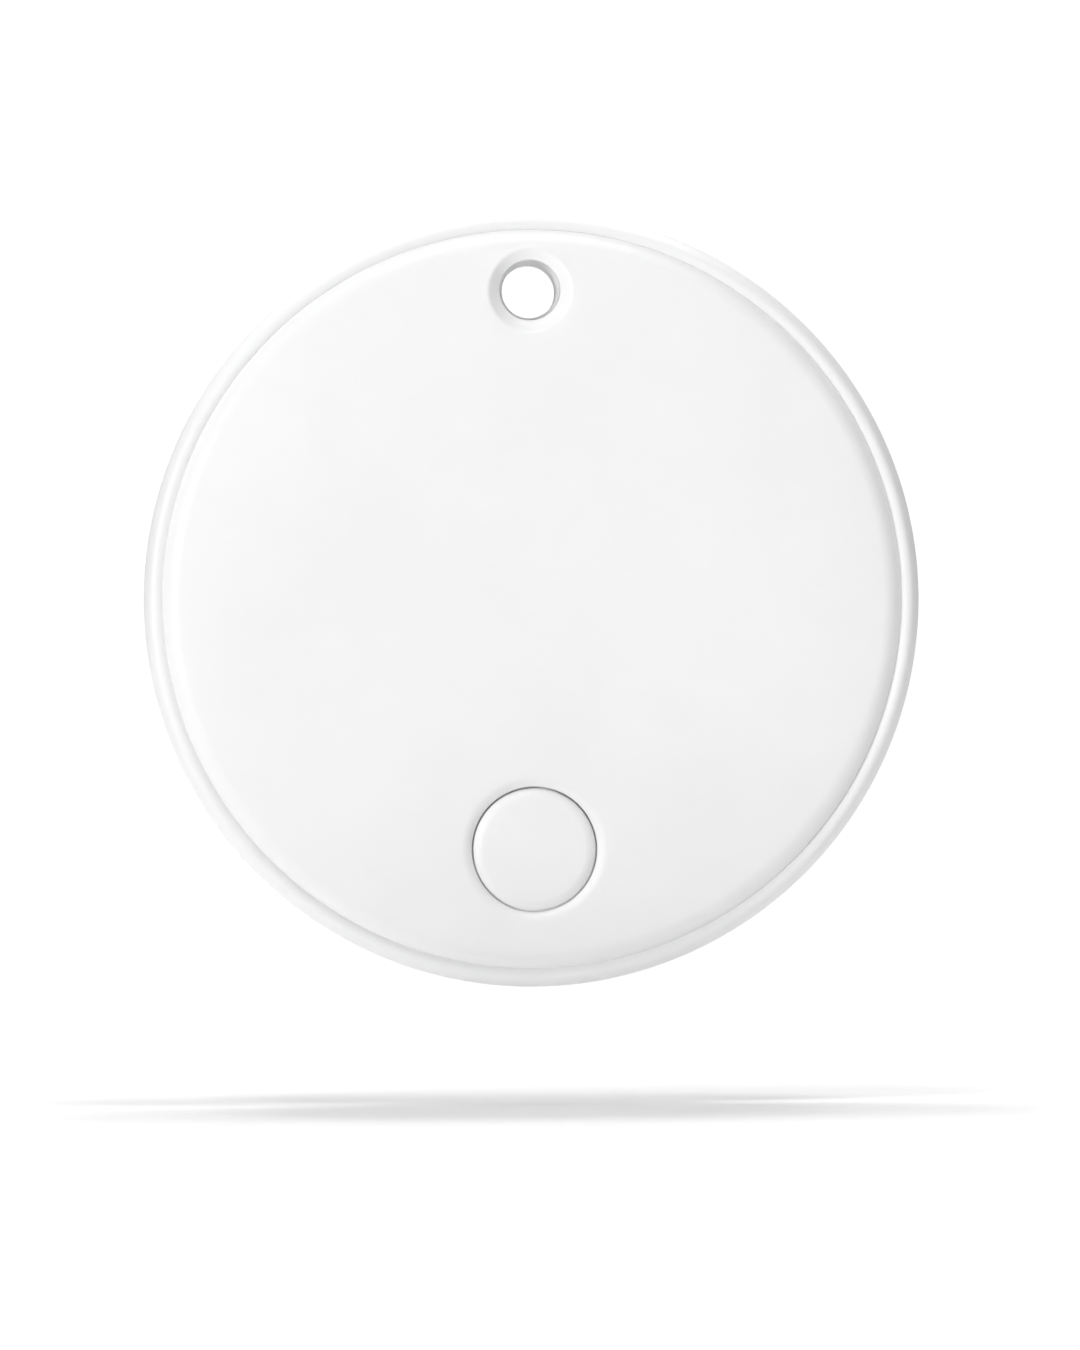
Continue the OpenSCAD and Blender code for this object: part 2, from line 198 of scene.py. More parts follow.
def rounded(points, steps=5):
    """Rounds the corners of a closed outline given as (x, y, radius)."""
    out = []
    for i, (x, y, r) in enumerate(points):
        if r == 0:
            out.append((x, y))
            continue
        corner = Vector((x, y))
        back = (Vector(points[i - 1][:2]) - corner).normalized()
        ahead = (Vector(points[(i + 1) % len(points)][:2]) - corner).normalized()
        half = back.angle(ahead) / 2
        centre = corner + (back + ahead).normalized() * (r / math.sin(half))
        first = corner + back * (r / math.tan(half)) - centre
        last = corner + ahead * (r / math.tan(half)) - centre
        turn = first.angle_signed(last)
        start = math.atan2(first.y, first.x)
        for k in range(steps + 1):
            a = start - turn * k / steps
            out.append((centre.x + r * math.cos(a), centre.y + r * math.sin(a)))
    return out


def drawn_in(corner, inset):
    """Radius of a corner after an inset, which leaves at least 0.3 of it."""
    return max(corner - inset, 0.3 * corner)


def rectangle(cu, cv, su, sv, corner, inset=0.0):
    """A rectangle with round corners, drawn in by an inset."""
    a, b = su / 2 - inset, sv / 2 - inset
    corners = [(-a, -b), (a, -b), (a, b), (-a, b)]
    return rounded([(cu + du, cv + dv, drawn_in(corner, inset)) for du, dv in corners], 3)


def band(angle, span, r_in, r_out, corner, inset=0.0):
    """A stretch of a ring about an angle, with round corners, drawn in by an inset."""
    steps = 16
    half = math.degrees(math.radians(span / 2) - inset / r_out)
    outer = arc(0, 0, r_out - inset, angle - half, angle + half, steps)
    inner = arc(0, 0, r_in + inset, angle + half, angle - half, steps)
    r = drawn_in(corner, inset)
    corners = (0, steps, steps + 1, 2 * steps + 1)
    return rounded([(x, y, r if i in corners else 0) for i, (x, y) in enumerate(outer + inner)])


def inside(u, v, loop):
    """True if the point is inside the closed loop."""
    hit = False
    for (u1, v1), (u2, v2) in zip(loop, loop[1:] + loop[:1]):
        if (v1 > v) != (v2 > v) and u < (u2 - u1) * (v - v1) / (v2 - v1) + u1:
            hit = not hit
    return hit


# ---- mesh building


class Shell:
    """Points and faces of one piece, gathered ring by ring in the working space."""

    def __init__(self):
        self.points, self.faces = [], []

    def add(self, ring):
        start = len(self.points)
        self.points += ring
        return list(range(start, len(self.points)))

    def bridge(self, rings):
        """Joins rings that have the same number of points."""
        loops = [self.add(ring) for ring in rings]
        for a, b in zip(loops, loops[1:]):
            n = len(a)
            self.faces += [(a[i], a[(i + 1) % n], b[(i + 1) % n], b[i]) for i in range(n)]

    def turn(self, profile, n=FINE_STEPS, cu=0.0, cv=0.0, closed=False):
        """Turns a profile of (radius, w) about an axis at cu, cv."""
        ends = profile[:1] if closed else []
        self.bridge([[(u, v, w) for u, v in circle(cu, cv, r, n)] for r, w in profile + ends])

    def cap(self, outline, w):
        """One flat face inside an outline."""
        self.faces.append(tuple(self.add([(u, v, w) for u, v in outline])))

    def rise(self, shape, levels, foot=True, top=True):
        """Walls through (inset, w) levels, where shape(inset) is the outline, with flat ends."""
        rings = [[(u, v, w) for u, v in shape(inset)] for inset, w in levels]
        self.bridge(rings)
        if foot:
            self.cap(shape(levels[0][0]), levels[0][1])
        if top:
            self.cap(shape(levels[-1][0]), levels[-1][1])

    def block(self, cu, cv, w0, w1, su, sv, soft, corner=None, foot_soft=0.0):
        """A rectangular block whose upright corners and upper edge are rounded."""

        def shape(inset):
            return rectangle(cu, cv, su, sv, corner or soft, inset)

        foot = [(foot_soft, w0), (0, w0 + foot_soft)] if foot_soft else [(0, w0)]
        edge = [(soft * (1 - math.cos(a)), w1 - soft * (1 - math.sin(a)))
                for a in [math.radians(90 * i / 4) for i in range(5)]]
        self.rise(shape, foot + edge)

    def sheet(self, outer, holes, height, step):
        """Fills the area inside outer and outside the holes with triangles of about that step."""
        row_step = step * 0.866         # from one row of triangles to the next
        margin = step * 0.55            # no inner point is closer than this to an edge's point
        flat, edges = [], []
        for loop in [outer] + holes:
            start = len(flat)
            flat += [Vector(p) for p in loop]
            edges += [(start + i, start + (i + 1) % len(loop)) for i in range(len(loop))]
        fixed = np.array([(p[0], p[1]) for p in flat])
        (u0, v0), (u1, v1) = fixed.min(0), fixed.max(0)
        for row in range(int((v1 - v0) / row_step) + 1):
            for column in range(int((u1 - u0) / step) + 1):
                u, v = u0 + step * (column + row % 2 / 2), v0 + row_step * row
                near = np.min(np.hypot(fixed[:, 0] - u, fixed[:, 1] - v))
                if near > margin and inside(u, v, outer) and not any(inside(u, v, h) for h in holes):
                    flat.append(Vector((u, v)))
        points, _, found = delaunay_2d_cdt(flat, edges, [], 1, 1e-6)[:3]
        index = self.add([(p.x, p.y, height(p.x, p.y)) for p in points])
        for face in found:
            mu = sum(points[i].x for i in face) / len(face)
            mv = sum(points[i].y for i in face) / len(face)
            if not any(inside(mu, mv, h) for h in holes):
                self.faces.append(tuple(index[i] for i in face))

    def plate(self, outer, holes, w, step=1.5):
        """A flat sheet."""
        self.sheet(outer, holes, lambda u, v: w, step)

    def mesh(self, name):
        """Welds what was gathered into a closed mesh with its faces looking out."""
        bm = bmesh.new()
        verts = [bm.verts.new(place(*p)) for p in self.points]
        for face in self.faces:
            if len(set(face)) > 2:
                bm.faces.new([verts[i] for i in face])
        bmesh.ops.remove_doubles(bm, verts=bm.verts, dist=WELD)
        bmesh.ops.recalc_face_normals(bm, faces=bm.faces)
        data = bpy.data.meshes.new(name)
        bm.to_mesh(data)
        bm.free()
        return data


def new_object(name, data):
    obj = bpy.data.objects.new(name, data)
    bpy.context.scene.collection.objects.link(obj)
    return obj


def combine(base, tools, operation):
    """Joins (UNION) meshes to a base or cuts (DIFFERENCE) them out of it."""
    holder = new_object("holder", base)
    helpers = []
    for data in tools:
        helper = new_object("tool", data)
        helpers.append(helper)
        modifier = holder.modifiers.new("boolean", "BOOLEAN")
        modifier.operation = operation
        modifier.solver = "EXACT"
        modifier.object = helper
    bpy.context.view_layer.update()
    result = bpy.data.meshes.new_from_object(holder.evaluated_get(bpy.context.evaluated_depsgraph_get()))
    for obj in [holder] + helpers:
        bpy.data.objects.remove(obj)
    return result


def rod(cu, cv, r, w0, w1, soft=0.0, n=FINE_STEPS):
    """A round post or drill along w, with its ends rounded by soft."""
    shell = Shell()
    if soft:
        profile = [(r - soft, w0)] + arc(r - soft, w0 + soft, soft, 270, 360, 4)[1:]
        profile += arc(r - soft, w1 - soft, soft, 0, 90, 4)
    else:
        profile = [(r, w0), (r, w1)]
    shell.turn(profile, n, cu, cv)
    shell.cap(circle(cu, cv, profile[0][0], n), w0)
    shell.cap(circle(cu, cv, profile[-1][0], n), w1)
    return shell.mesh("rod")


def bar(cu, cv, su, sv, w0, w1, turn=0.0, soft=0.08):
    """A rectangular bar along w, turned about the tag's middle by an angle in degrees."""
    shell = Shell()
    shell.block(cu, cv, w0, w1, su, sv, soft, foot_soft=soft)
    c, s = math.cos(math.radians(turn)), math.sin(math.radians(turn))
    shell.points = [(u * c - v * s, u * s + v * c, w) for u, v, w in shell.points]
    return shell.mesh("bar")


def dress(data, material):
    """Gives a mesh one material and smooth shading, apart from edges sharper than 35 degrees."""
    data.materials.clear()
    data.materials.append(material)
    data.polygons.foreach_set("use_smooth", [True] * len(data.polygons))
    data.set_sharp_from_angle(angle=math.radians(35))


def piece(name, data, material, body, slot, *nodes):
    """Makes a visible piece that rides on a body and stands for its CAD nodes."""
    if isinstance(data, Shell):
        data = data.mesh(name)
    dress(data, material)
    obj = new_object(name, data)
    modifier = obj.modifiers.new("normals", "WEIGHTED_NORMAL")
    modifier.keep_sharp = True
    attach(obj, body)
    if nodes:
        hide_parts(*nodes)
    return obj


def carried(node, material, soft=0.03):
    """Shows a CAD node as it is, with its sharp edges slightly rounded and its own material."""
    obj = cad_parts[node]
    dress(obj.data, material)
    weld = obj.modifiers.new("weld", "WELD")
    weld.merge_threshold = CAD_WELD
    bevel = obj.modifiers.new("edges", "BEVEL")
    bevel.width = soft * MM
    bevel.segments = 2
    bevel.limit_method = "ANGLE"
    bevel.angle_limit = math.radians(40)
    bevel.harden_normals = True


def solids(node):
    """Centre u, v and size su, sv of each separate solid of a CAD node."""
    bm = bmesh.new()
    bm.from_mesh(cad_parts[node].data)
    bmesh.ops.remove_doubles(bm, verts=bm.verts, dist=CAD_WELD)
    bm.verts.ensure_lookup_table()
    seen, found = set(), []
    for first in bm.verts:
        if first.index in seen:
            continue
        seen.add(first.index)
        reach, group = [first], []
        while reach:
            vert = reach.pop()
            group.append((vert.co.x / MM, (vert.co.z - MIDDLE_Z) / MM))
            for edge in vert.link_edges:
                other = edge.other_vert(vert)
                if other.index not in seen:
                    seen.add(other.index)
                    reach.append(other)
        low, high = np.min(group, 0), np.max(group, 0)
        found.append((*((low + high) / 2), *(high - low)))
    bm.free()
    return found


# ---- materials


class Look:
    """A material whose nodes are added one by one."""

    def __init__(self, name):
        self.material = bpy.data.materials.new(name)
        self.material.use_nodes = True
        self.tree = self.material.node_tree
        self.shader = self.tree.nodes["Principled BSDF"]
        self.where = self.add("ShaderNodeTexCoord").outputs["Object"]

    def add(self, kind, **values):
        made = self.tree.nodes.new(kind)
        for key, value in values.items():
            if hasattr(made, key):
                setattr(made, key, value)
            else:
                made.inputs[key.replace("_", " ")].default_value = value
        return made

    def join(self, a, b):
        self.tree.links.new(a, b)

    def noise(self, scale, detail=3.0, rough=0.5, where=None):
        made = self.add("ShaderNodeTexNoise", Scale=scale, Detail=detail, Roughness=rough)
        self.join(where or self.where, made.inputs["Vector"])
        return made.outputs["Fac"]

    def vector(self, operation, a, b=(0, 0, 0)):
        made = self.add("ShaderNodeVectorMath", operation=operation)
        self.join(a, made.inputs[0])
        made.inputs[1].default_value = b
        return made.outputs["Value" if operation == "LENGTH" else "Vector"]

    def stretched(self, x, y, z):
        """Coordinates scaled by a factor along each axis, to draw a grain out."""
        return self.vector("MULTIPLY", self.where, (x, y, z))

    def rings(self, cu, cv, scale):
        """Uneven concentric lines about an axis at cu, cv."""
        shift = self.vector("SUBTRACT", self.where, place(cu, cv, 0))
        reach = self.vector("LENGTH", self.vector("MULTIPLY", shift, (1, 0, 1)))
        lines = self.add("ShaderNodeTexNoise", noise_dimensions="1D", Scale=scale, Detail=4.0)
        self.join(reach, lines.inputs["W"])
        return lines.outputs["Fac"]

    def cells(self, scale, distance="EUCLIDEAN", randomness=1.0):
        made = self.add("ShaderNodeTexVoronoi", distance=distance, Scale=scale, Randomness=randomness)
        self.join(self.where, made.inputs["Vector"])
        return made.outputs["Distance"]

    def ramp(self, source, *stops):
        """Colours or greys along a value: (position, colour) pairs."""
        made = self.add("ShaderNodeValToRGB")
        self.join(source, made.inputs["Fac"])
        elements = made.color_ramp.elements
        while len(elements) < len(stops):
            elements.new(0.5)
        for element, (position, colour) in zip(elements, stops):
            element.position = position
            red_green_blue = (colour,) * 3 if isinstance(colour, float) else colour
            element.color = (*red_green_blue, 1.0)
        return made.outputs["Color"]

    def bump(self, height, depth, strength, under=None):
        """A bump in metres, laid over the normal from another one."""
        made = self.add("ShaderNodeBump", Strength=strength, Distance=depth)
        self.join(height, made.inputs["Height"])
        if under:
            self.join(under, made.inputs["Normal"])
        return made.outputs["Normal"]

    def set(self, **values):
        """Sets or links the shader's inputs and gives the material."""
        for key, value in values.items():
            socket = self.shader.inputs[key.replace("_", " ")]
            if isinstance(value, bpy.types.NodeSocket):
                self.join(value, socket)
            else:
                socket.default_value = value
        return self.material


def tint(colour, share):
    """A colour made lighter or darker by a share."""
    return tuple(min(c * (1 + share), 1.0) for c in colour)


def moulded(name, colour, spread=0.015, rough=(0.42, 0.52), grain=11000, depth=4e-6):
    """Moulded plastic or rubber: a fine spark-eroded grain, faint flow clouds and handling marks."""
    look = Look(name)
    tone = look.ramp(look.noise(160, 4, 0.55), (0.3, tint(colour, -spread)), (0.7, tint(colour, spread)))
    marks = look.ramp(look.noise(420, 6, 0.7), (0.35, rough[0]), (0.65, rough[1]))
    broad = look.bump(look.noise(900, 2, 0.5), 6e-6, 0.25)
    normal = look.bump(look.noise(grain, 2, 0.6), depth, 0.5, broad)
    return look.set(Base_Color=tone, Roughness=marks, Normal=normal)


def pressed(name, colour, spread, rough, cell, depth):
    """Pressed, fired or foamed stuff: grains or cells of one size, with dark gaps between them."""
    look = Look(name)
    cells = look.cells(cell)
    tone = look.ramp(cells, (0.15, tint(colour, spread)), (0.75, tint(colour, -spread)))
    marks = look.ramp(look.noise(700, 5, 0.6), (0.3, rough[0]), (0.7, rough[1]))
    normal = look.bump(cells, depth, 0.7, look.bump(look.noise(cell / 4, 3), depth, 0.4))
    return look.set(Base_Color=tone, Roughness=marks, Normal=normal)


def metal(name, colour, spread=0.06, rough=(0.2, 0.36), about=None):
    """Plated or rolled metal: tool lines, either turned about a point or drawn along X, and smudges."""
    look, depth = Look(name), 1.2e-6
    lines = look.rings(*about, 9000) if about else look.noise(1, 3, 0.6, look.stretched(900, 16000, 16000))
    smudges = look.noise(350, 5, 0.65)
    tone = look.ramp(smudges, (0.3, tint(colour, -spread)), (0.7, tint(colour, spread)))
    mixed = look.add("ShaderNodeMath", operation="MULTIPLY_ADD")
    look.join(lines, mixed.inputs[0])
    mixed.inputs[1].default_value = 0.4
    look.join(smudges, mixed.inputs[2])
    marks = look.ramp(mixed.outputs[0], (0.45, rough[0]), (0.95, rough[1]))
    scratches = look.bump(look.noise(1, 2, 0.5, look.stretched(14000, 3000, 1400)), depth, 0.35)
    return look.set(Base_Color=tone, Roughness=marks, Metallic=1.0,
                    Normal=look.bump(lines, depth, 0.5, scratches))


def solder_mask():
    """Green lacquer over copper tracks, which stand out a little and show lighter."""
    look = Look("solder_mask")
    tracks = look.cells(900, "CHEBYCHEV", 0.85)
    bare, track = (0.015, 0.125, 0.06), (0.03, 0.24, 0.12)
    edges = (0.30, 0.34, 0.44, 0.48)
    tone = look.ramp(tracks, *zip(edges, (bare, track, track, bare)))
    height = look.ramp(tracks, *zip(edges, (0.0, 1.0, 1.0, 0.0)))
    marks = look.ramp(look.noise(600, 4), (0.3, 0.22), (0.7, 0.36))
    normal = look.bump(height, 1.5e-5, 0.6, look.bump(look.noise(5000, 2), 3e-6, 0.4))
    return look.set(Base_Color=tone, Roughness=marks, Normal=normal, Coat_Weight=0.4)


WHITE = moulded("white_plastic", (0.85, 0.85, 0.854))
RUBBER = moulded("seal_rubber", (0.07, 0.07, 0.078), 0.12, (0.38, 0.55), 7000, 6e-6)
SILICONE = moulded("milky_silicone", (0.7, 0.72, 0.735), 0.05, (0.3, 0.45), 4000, 3e-6)
RESIN = moulded("chip_resin", (0.026, 0.026, 0.03), 0.25, (0.42, 0.6), 20000, 6e-6)
IVORY = moulded("ivory_plastic", (0.78, 0.74, 0.64), 0.04, (0.25, 0.38), 9000, 2e-6)
GASKET = moulded("gasket_plastic", (0.16, 0.18, 0.22), 0.08, (0.35, 0.5), 8000, 4e-6)
FILM = moulded("adhesive_film", (0.2, 0.2, 0.2), 0.15, (0.5, 0.7), 3000, 6e-6)
FOAM = pressed("pad_foam", (0.09, 0.09, 0.1), 0.45, (0.75, 0.95), 5200, 3e-5)
FERRITE = pressed("ferrite", (0.08, 0.08, 0.085), 0.3, (0.5, 0.7), 16000, 8e-6)
TAN_CERAMIC = pressed("capacitor_ceramic", (0.4, 0.27, 0.165), 0.1, (0.4, 0.55), 22000, 5e-6)
BLACK_GLAZE = pressed("resistor_glaze", (0.03, 0.03, 0.034), 0.2, (0.25, 0.4), 14000, 4e-6)
PALE_CERAMIC = pressed("pale_ceramic", (0.76, 0.74, 0.7), 0.05, (0.5, 0.65), 20000, 5e-6)
CATHODE = pressed("cathode_powder", (0.035, 0.035, 0.037), 0.4, (0.7, 0.9), 9000, 2e-5)
PAPER = pressed("separator_fleece", (0.82, 0.82, 0.79), 0.06, (0.8, 0.95), 6000, 2e-5)
NICKEL = metal("nickel_plate", (0.66, 0.66, 0.68))
GOLD = metal("gold_plate", (0.83, 0.61, 0.28), 0.05, (0.18, 0.3))
BRASS = metal("rolled_brass", (0.72, 0.53, 0.24), 0.08, (0.24, 0.4), (0, BUZZER_V))
SILVERING = metal("silver_electrode", (0.75, 0.74, 0.72), 0.05, (0.35, 0.5), (0, BUZZER_V))
CELL_STEEL = metal("cell_steel", (0.64, 0.64, 0.65), 0.04, (0.2, 0.34), (0, 0))
LITHIUM = metal("dull_lithium", (0.5, 0.52, 0.54), 0.12, (0.5, 0.7))
LAMINATE = solder_mask()

# ---- case


def hole_profile():
    """(radius, depth, share of levelling) down the bevel round the lanyard hole, from the face."""
    wide, outer, inner, steep = 0.68, 0.3, 0.1, math.radians(45)
    start = HOLE_MOUTH_R + wide
    top = [(start - outer * math.sin(a), outer * (1 - math.cos(a)))
           for a in [steep * i / 6 for i in range(7)]]
    r0, d0 = top[-1]
    r1 = HOLE_MOUTH_R + inner * (1 - math.sin(steep))
    d1 = d0 + (r0 - r1)
    slope = [(r0 + (r1 - r0) * i / 4, d0 + (d1 - d0) * i / 4) for i in range(1, 5)]
    low = [(HOLE_MOUTH_R + inner * (1 - math.sin(a)), d1 + inner * (math.cos(steep) - math.cos(a)))
           for a in [steep * (1 + i / 4) for i in range(1, 5)]]
    whole = top + slope + low
    return [(r, d, i / (len(whole) - 1)) for i, (r, d) in enumerate(whole)]


def build_front_cover():
    """Domed disc with a skirt, the bevelled lanyard hole and its boss, and the button opening."""
    shell = Shell()
    edge_w = face_w(EDGE_R, 0) - EDGE_ROUND * math.cos(EDGE_SLOPE)
    edge = arc(SEAT_R - EDGE_ROUND * math.cos(EDGE_END), edge_w, EDGE_ROUND,
               90 - math.degrees(EDGE_SLOPE), math.degrees(EDGE_END), 16)
    shell.turn(edge + [(SEAT_R, LEDGE_W), (SKIRT_R, LEDGE_W), (SKIRT_R, FRONT_IN)], ROUND_STEPS)

    level_w = face_w(0, HOLE_V)
    rings = [[(u, v, (1 - flat) * face_w(u, v) + flat * level_w - depth) for u, v in circle(0, HOLE_V, r)]
             for r, depth, flat in hole_profile()]
    hole = [p[:2] for p in rings[0]]
    rings += [[(u, v, w) for u, v in circle(0, HOLE_V, r)]
              for r, w in [(HOLE_MOUTH_R, BOARD_W), (BOSS_R, BOARD_W), (BOSS_R, FRONT_IN)]]
    shell.bridge(rings)

    start = OPENING_R + BUTTON_ROUND * math.sin(BUTTON_BEND)
    rounding = [(start - BUTTON_ROUND * math.sin(a), BUTTON_ROUND * (1 - math.cos(a)))
                for a in [BUTTON_BEND * i / 9 for i in range(10)]]
    rings = [[(u, v, face_w(u, v) - d) for u, v in circle(0, BUTTON_V, r, DISC_STEPS)]
             for r, d in rounding]
    opening = [p[:2] for p in rings[0]]
    step_w = FRONT_IN + 0.27            # floor of the counterbore behind the opening
    rings += [[(u, v, w) for u, v in circle(0, BUTTON_V, r, DISC_STEPS)]
              for r, w in [(OPENING_R, step_w), (COUNTERBORE_R, step_w), (COUNTERBORE_R, FRONT_IN)]]
    shell.bridge(rings)
    shell.sheet(circle(0, 0, edge[0][0], ROUND_STEPS), [hole, opening], face_w, 0.45)

    ring_out, ring_in = radius("buzzer_plate") + 0.7, radius("buzzer_plate") + 0.1
    ring_w = FRONT_IN - 0.3             # rear edge of the ring that locates the buzzer
    shell.turn([(ring_out, FRONT_IN), (ring_out, ring_w), (ring_in, ring_w), (ring_in, FRONT_IN)],
               DISC_STEPS, 0, BUZZER_V)
    shell.plate(circle(0, BUZZER_V, ring_in, DISC_STEPS), [], FRONT_IN)
    shell.plate(circle(0, 0, SKIRT_R, ROUND_STEPS),
                [circle(0, BUTTON_V, COUNTERBORE_R, DISC_STEPS), circle(0, HOLE_V, BOSS_R),
                 circle(0, BUZZER_V, ring_out, DISC_STEPS)], FRONT_IN)
    piece("front_cover_shell", shell, WHITE, "case", "case_plastic", "front_cover")


def housing_outline():
    """Half section of the mid housing, from the web's rear side round to its front side."""
    crest = TAG_R - FLANK_ROUND * (1 - math.cos(FLANK_ANGLE)) - CREST_ROUND * math.cos(FLANK_ANGLE)
    flank_w = RIM_FRONT - CREST_ROUND * (1 - math.sin(FLANK_ANGLE)) - FLANK_ROUND * math.sin(FLANK_ANGLE)
    lip_end = 90 + math.degrees(math.asin((crest - SEAT_R) / LIP_ROUND))
    rim = arc(TAG_R - FLANK_ROUND, flank_w, FLANK_ROUND, 0, math.degrees(FLANK_ANGLE), 8)
    rim += arc(crest, RIM_FRONT - CREST_ROUND, CREST_ROUND, math.degrees(FLANK_ANGLE), 90, 8)[1:]
    rim += arc(crest, RIM_FRONT - LIP_ROUND, LIP_ROUND, 90, lip_end, 6)[1:]
    groove_r = SEAL_R - SEAL_CORD - 0.01
    groove_low, groove_high = SEAL_W - 0.37, SEAL_W + 0.37
    wall_w = CELL_W + 0.05              # rear edge of the bay's wall
    corners = [
        (WEB_FLAT_R, WEB_W, 0), (BAY_R, WEB_W, 0.2), (BAY_R, wall_w, 0.15), (BAY_WALL_R, wall_w, 0.15),
        (BAY_WALL_R, groove_low, 0.05), (groove_r, groove_low, 0.1), (groove_r, groove_high, 0.1),
        (BAY_WALL_R, groove_high, 0.05), (BAY_WALL_R, WEB_W, 0.25), (WALL_IN_R, WEB_W, 0.25),
        (WALL_IN_R, REAR_LEDGE, 0.1), (REAR_SEAT_R, REAR_LEDGE, 0.05), (REAR_SEAT_R, RIM_REAR, 0.25),
        (TAG_R, RIM_REAR, RIM_ROUND),
    ]
    corners += [(x, y, 0) for x, y in rim]
    corners += [(SEAT_R, LEDGE_W, 0.04), (SKIRT_R, LEDGE_W, 0.08), (SKIRT_R, BOARD_W, 0.2),
                (WEB_FLAT_R, BOARD_W, 0)]
    return rounded(corners, 8)


def contact_windows():
    """Cutters for the contacts: two windows in the web, and a slot in the bay's wall."""
    return [bar(-0.2, 0, 8, 4, WEB_W - 1, BOARD_W + 1, soft=0.3),
            bar(CELL_R - 0.9, 0, 3.2, 3.6, WEB_W - 0.01, BOARD_W + 1, soft=0.3),
            bar(BAY_R, 0, 1.3, 3.6, CELL_W - 1, WEB_W + 0.1, soft=0.15)]


def hole_bevel():
    """Cutter for the small bevel where the housing's bore meets the front cover's wider one."""
    bevel, high = Shell(), 0.3
    inset = HOLE_MOUTH_R - HOLE_R + 0.005
    bevel.rise(lambda i: circle(0, HOLE_V, HOLE_MOUTH_R - i),
               [(inset, BOARD_W - high), (0, BOARD_W), (0, BOARD_W + 0.1)])
    return bevel.mesh("bevel")


def coin_scallop():
    """Cutter for the round notch at the bottom of the rim, which lets a coin's edge in."""
    scallop, r, deep = Shell(), 4.2, 1.15
    rings = [[(u, v, w) for u, w in circle(0, deep - r, r)] for v in (-REAR_R + 0.3, -TAG_R - 2)]
    scallop.bridge(rings)
    scallop.faces += [tuple(scallop.add(ring)) for ring in rings]
    return scallop.mesh("scallop")


def build_housing():
    """Ring, web and cell bay in one moulding, with bosses, ribs, contact windows and the coin scallop."""
    shell = Shell()
    shell.turn(housing_outline(), ROUND_STEPS)
    for w in (WEB_W, BOARD_W):
        shell.cap(circle(0, 0, WEB_FLAT_R, ROUND_STEPS), w)
    added = [rod(0, HOLE_V, BOSS_REAR_R, REAR_LEDGE, BOARD_W, 0.1)]
    cut = [rod(0, HOLE_V, HOLE_R, -1, TAG_T + 1),
           rod(0, HOLE_V, BOSS_REAR_R + 0.02, BOARD_W + 0.01, TAG_T)]      # room for the cover's boss
    boss_r, boss_w, rib_thick, rib_w, pilot_r, pilot_w = 1.3, 2, 0.6, 2.9, 0.5, 2.3
    for angle in SCREW_ANGLES:
        u, v = around(SCREW_RING_R, angle)
        added.append(rod(u, v, boss_r, boss_w, WEB_W + 0.1, 0.12, FINE_STEPS // 2))
        added.append(bar((BAY_WALL_R + WALL_IN_R) / 2, 0, WALL_IN_R - BAY_WALL_R + 0.2, rib_thick,
                         rib_w, WEB_W + 0.1, angle))
        cut.append(rod(u, v, pilot_r, pilot_w, TAG_T, n=HOLE_STEPS))
    cut += contact_windows()
    cut += [hole_bevel(), coin_scallop()]
    data = combine(combine(shell.mesh("ring"), added, "UNION"), cut, "DIFFERENCE")
    piece("mid_housing_ring", data, WHITE, "case", "case_plastic", "mid_housing")


def build_rear_cover():
    """Pull-off cover: a rounded disc with the seal's collar, four grip tabs and the lanyard hole."""
    shell = Shell()
    edge, soft, collar_in = 0.5, 0.1, BAY_WALL_R + 0.3
    collar_out = collar_in + 0.7
    shell.turn(arc(REAR_R - edge, edge, edge, 270, 360, 12)
               + arc(REAR_R - soft, REAR_WALL - soft, soft, 0, 90, 4), ROUND_STEPS)
    mouth = [(r, d) for r, d, _ in hole_profile()]
    shell.turn(mouth + [(HOLE_MOUTH_R, REAR_WALL)], FINE_STEPS, 0, HOLE_V)
    hole = circle(0, HOLE_V, mouth[0][0])
    shell.plate(circle(0, 0, REAR_R - edge, ROUND_STEPS), [hole], 0)

    root = [(collar_out + soft, REAR_WALL)]
    top = arc(collar_out - soft, COLLAR_W - soft, soft, 0, 90, 4)
    top += arc(collar_in + soft, COLLAR_W - soft, soft, 90, 180, 4)
    fillet = arc(collar_out + soft, REAR_WALL + soft, soft, 270, 180, 4)[1:]
    shell.turn(root + fillet + top + [(collar_in, REAR_WALL)], ROUND_STEPS)

    tabs = []
    tab_span, tab_in, tab_out = 26, WALL_IN_R - 0.78, WALL_IN_R - 0.08
    levels = [(0, REAR_WALL), (0, COLLAR_W - 0.5), (0.02, COLLAR_W - 0.25),
              (0.08, COLLAR_W - 0.06), (0.15, COLLAR_W)]
    for angle in TAB_ANGLES:

        def tab(inset, at=angle):
            return band(at, tab_span, tab_in, tab_out, 0.2, inset)

        shell.rise(tab, levels, foot=False)
        tabs.append(tab(0))
    shell.plate(circle(0, 0, REAR_R - soft, ROUND_STEPS),
                [circle(0, HOLE_V, HOLE_MOUTH_R), circle(0, 0, root[0][0], ROUND_STEPS)] + tabs, REAR_WALL)

    # four shallow round marks are left by the mould's ejector pins
    marks = []
    mark_r, mark_in, mark_w = 0.8, 0.3, REAR_WALL - 0.02
    for angle in (45, 135, 225, 315):
        u, v = around(8.6, angle)
        shell.turn([(mark_r, REAR_WALL), (mark_r - 0.02, mark_w), (mark_in, mark_w)], HOLE_STEPS, u, v)
        shell.cap(circle(u, v, mark_in, HOLE_STEPS), mark_w)
        marks.append(circle(u, v, mark_r, HOLE_STEPS))
    shell.plate(circle(0, 0, collar_in, ROUND_STEPS), marks, REAR_WALL)
    piece("rear_cover_shell", shell, WHITE, "back", "case_plastic", "rear_cover")


